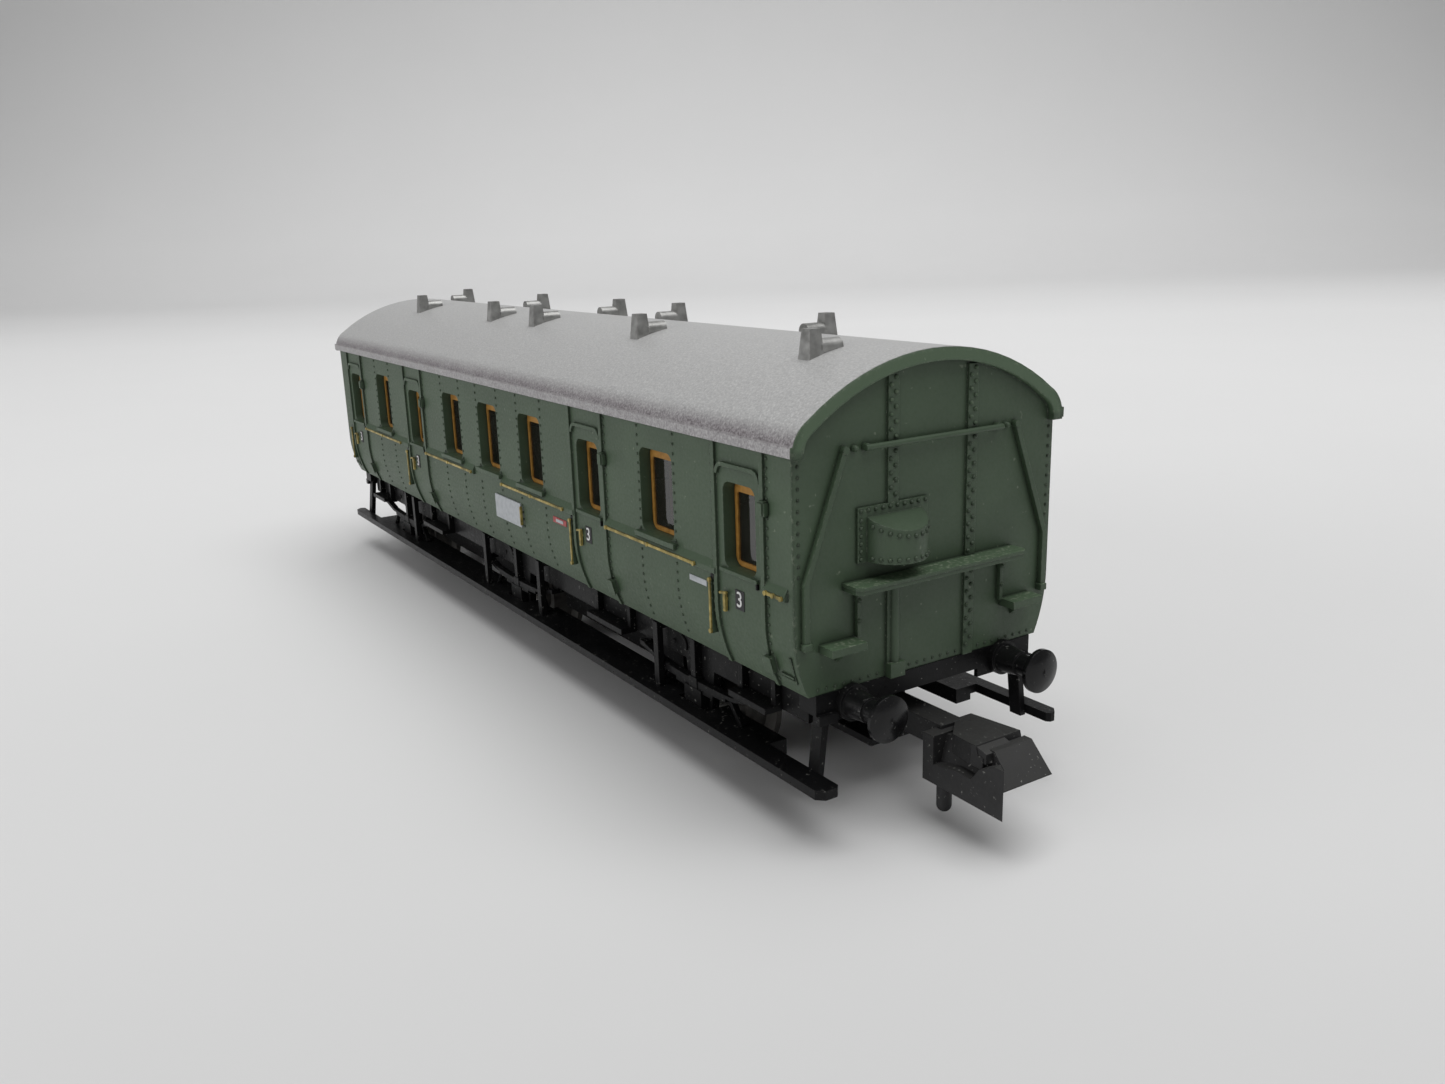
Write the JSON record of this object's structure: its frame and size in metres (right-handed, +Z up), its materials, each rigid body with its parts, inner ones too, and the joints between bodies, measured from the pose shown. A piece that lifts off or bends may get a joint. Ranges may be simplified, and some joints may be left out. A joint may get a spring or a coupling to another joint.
{
  "type": "model passenger coach",
  "caption": "Small-scale model of an old compartment coach: green body under an arched silver roof, three axles, long footboards, turning wheels and hook couplers that swing and lift.",
  "frame": {"origin": "middle of the coach at the lowest point of the wheel flanges, where it would stand on a table", "axes": "+X along the coach to its front coupler, +Y to its left side, +Z up"},
  "size_m": [0.0928, 0.0188, 0.0264],
  "materials": {
    "body_green": "satin paint",
    "roof_silver": "speckled metallic paint",
    "brass_trim": "painted brass tone",
    "chassis_black": "satin moulding",
    "bright_steel": "turned",
    "wheel_metal": "blackened, bright treads",
    "clear_glazing": "clear moulding",
    "frame_ochre": "printed satin",
    "interior_brown": "plain moulding"
  },
  "bodies": {
    "coach": {"body_shell": "body_green", "end_board_front": "body_green", "end_board_rear": "body_green", "end_box_front": "body_green", "end_box_rear": "body_green", "end_steps_front": "body_green", "end_steps_rear": "body_green", "end_rail_front": "body_green", "end_rail_rear": "body_green", "roof": "roof_silver", "roof_vents_right": "roof_silver", "roof_vents_left": "roof_silver", "waist_rails_right": "brass_trim", "waist_rails_left": "brass_trim", "door_handles_right": "brass_trim", "door_handles_left": "brass_trim", "underframe": "chassis_black", "headstock_front": "chassis_black", "headstock_rear": "chassis_black", "buffer_front_right": "chassis_black", "buffer_front_left": "chassis_black", "buffer_rear_right": "chassis_black", "buffer_rear_left": "chassis_black", "axle_guard_front_right": "chassis_black", "axle_guard_front_left": "chassis_black", "axle_guard_centre_right": "chassis_black", "axle_guard_centre_left": "chassis_black", "axle_guard_rear_right": "chassis_black", "axle_guard_rear_left": "chassis_black", "footboard_right": "chassis_black", "footboard_left": "chassis_black", "door_steps_right": "chassis_black", "door_steps_left": "chassis_black", "coupler_pocket_front": "chassis_black", "coupler_pocket_rear": "chassis_black", "ballast_weight": "bright_steel", "coupler_peg_front": "bright_steel", "coupler_peg_rear": "bright_steel", "glazing_right": "clear_glazing", "glazing_left": "clear_glazing", "window_frames_right": "frame_ochre", "window_frames_left": "frame_ochre", "seat_insert": "interior_brown"},
    "front_wheelset": {"axle_front": "bright_steel", "wheel_front_right": "wheel_metal", "wheel_front_left": "wheel_metal"},
    "rear_wheelset": {"axle_rear": "bright_steel", "wheel_rear_right": "wheel_metal", "wheel_rear_left": "wheel_metal"},
    "centre_axle": {"axle_centre": "bright_steel"},
    "centre_wheels": {"wheel_centre_right": "wheel_metal", "wheel_centre_left": "wheel_metal"},
    "front_swivel": {"coupler_swivel_front": "chassis_black", "coupler_spring_front": "bright_steel"},
    "front_coupler": {"coupler_hook_front": "chassis_black"},
    "rear_swivel": {"coupler_swivel_rear": "chassis_black", "coupler_spring_rear": "bright_steel"},
    "rear_coupler": {"coupler_hook_rear": "chassis_black"}
  },
  "joints": [
    {"name": "front_wheelset_spin", "type": "hinge", "parent": "coach", "child": "front_wheelset", "pos_m": [0.0267, 0, 0.004], "axis": [0, 1, 0], "continuous": true},
    {"name": "rear_wheelset_spin", "type": "hinge", "parent": "coach", "child": "rear_wheelset", "pos_m": [-0.0267, 0, 0.004], "axis": [0, 1, 0], "continuous": true},
    {"name": "centre_axle_shift", "type": "slide", "parent": "coach", "child": "centre_axle", "axis": [0, 1, 0], "range_m": [-0.0004, 0.0004]},
    {"name": "centre_wheels_spin", "type": "hinge", "parent": "centre_axle", "child": "centre_wheels", "pos_m": [0, 0, 0.004], "axis": [0, 1, 0], "continuous": true},
    {"name": "front_coupler_swing", "type": "hinge", "parent": "coach", "child": "front_swivel", "pos_m": [0.0332, 0, 0.0048], "axis": [0, 0, 1], "range_deg": [-12, 12], "stiffness_Nm_per_rad": 0.0002},
    {"name": "front_coupler_lift", "type": "hinge", "parent": "front_swivel", "child": "front_coupler", "pos_m": [0.0332, 0, 0.0048], "axis": [0, -1, 0], "range_deg": [0, 8], "stiffness_Nm_per_rad": 0.0002},
    {"name": "rear_coupler_swing", "type": "hinge", "parent": "coach", "child": "rear_swivel", "pos_m": [-0.0332, 0, 0.0048], "axis": [0, 0, 1], "range_deg": [-12, 12], "stiffness_Nm_per_rad": 0.0002},
    {"name": "rear_coupler_lift", "type": "hinge", "parent": "rear_swivel", "child": "rear_coupler", "pos_m": [-0.0332, 0, 0.0048], "axis": [0, 1, 0], "range_deg": [0, 8], "stiffness_Nm_per_rad": 0.0002}
  ]
}
